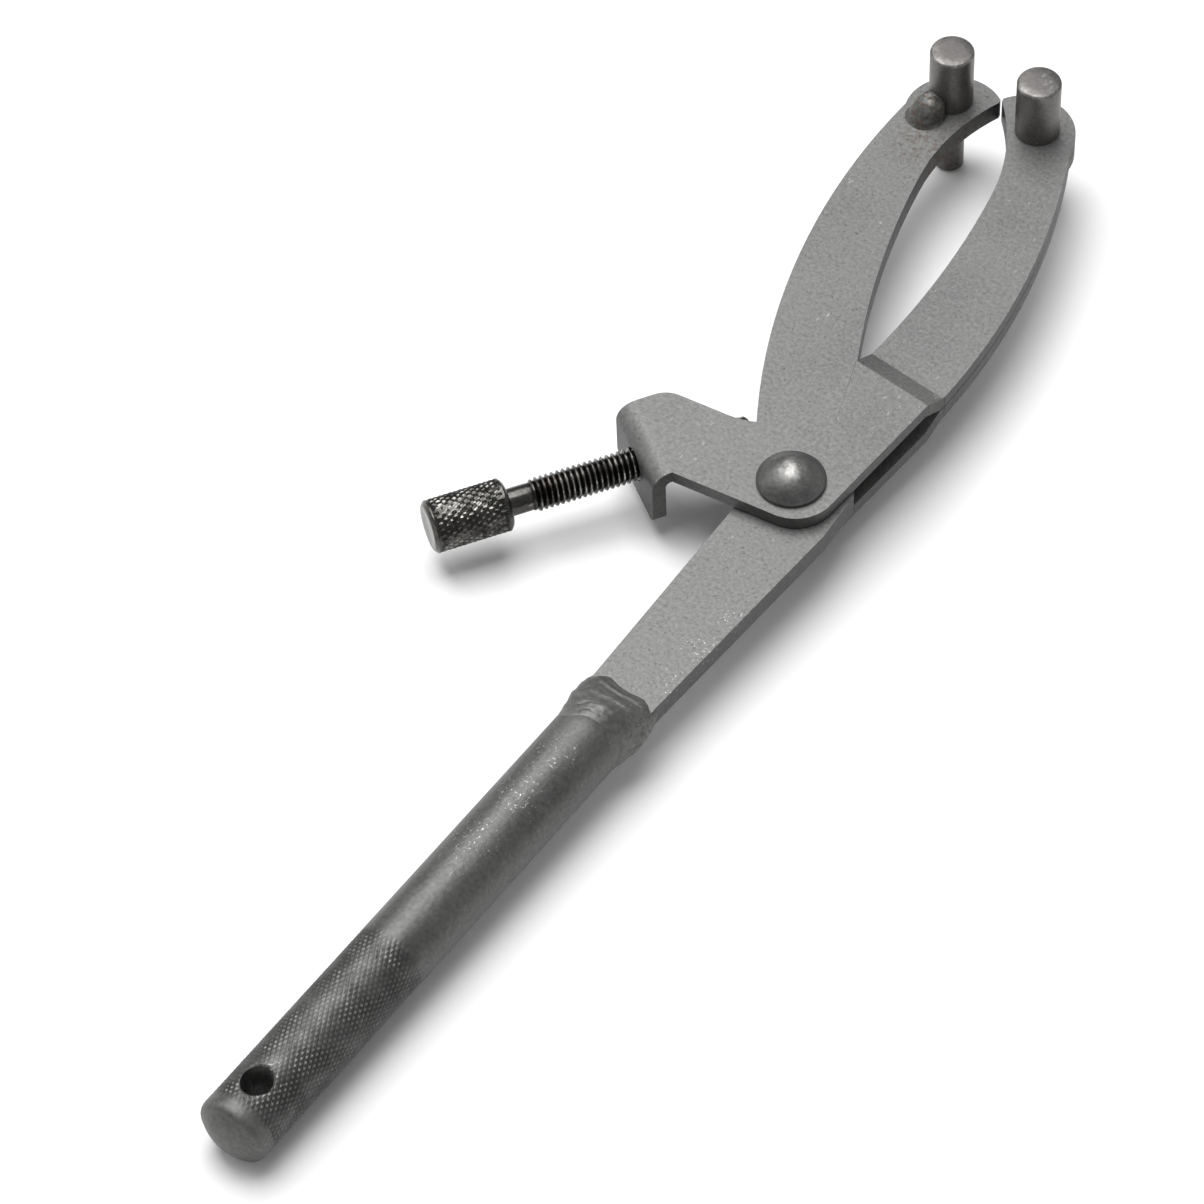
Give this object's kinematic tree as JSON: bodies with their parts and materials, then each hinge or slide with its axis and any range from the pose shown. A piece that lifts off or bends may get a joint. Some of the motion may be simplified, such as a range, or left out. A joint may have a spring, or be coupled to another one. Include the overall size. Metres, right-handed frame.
{
  "type": "adjustable pin spanner",
  "caption": "Adjustable pin spanner: round knurled handle, curved jaws that swing on a rivet, stepped pins at the jaw tips, and a thumb screw that sets how far the jaws close.",
  "frame": {"origin": "middle of the hang hole, on the handle's axis", "axes": "+Y along the handle to the jaws, +Z towards the thick ends of the pins, +X to the side of the moving jaw"},
  "size_m": [0.0609, 0.2563, 0.0295],
  "materials": {
    "plate_steel": "blasted, with bright worn edges",
    "handle_steel": "dark, satin, knurled",
    "weld_steel": "rough weld metal",
    "rivet_steel": "satin, worn bright on top",
    "pin_steel": "dark turned steel",
    "screw_steel": "blackened, bright on the knurl's crests"
  },
  "bodies": {
    "frame": {"handle": "handle_steel", "fixed_jaw": "plate_steel", "handle_weld": "weld_steel", "fixed_pin": "pin_steel", "pin_weld": "weld_steel"},
    "moving_jaw": {"upper_jaw_plate": "plate_steel", "lower_jaw_plate": "plate_steel", "pivot_rivet": "rivet_steel", "moving_pin": "pin_steel"},
    "screw": {"thumb_screw": "screw_steel"}
  },
  "joints": [
    {"name": "jaw_hinge", "type": "hinge", "parent": "frame", "child": "moving_jaw", "pos_m": [-0.002, 0.1465, 0], "axis": [0, 0, -1], "range_deg": [0, 46]},
    {"name": "screw_slide", "type": "slide", "parent": "moving_jaw", "child": "screw", "axis": [-0.5446, -0.8387, 0], "range_m": [0, 0.0146]}
  ],
  "couplings": [
    {"joint": "screw_slide", "follows": "jaw_hinge", "m_per_rad": 0.01805}
  ]
}
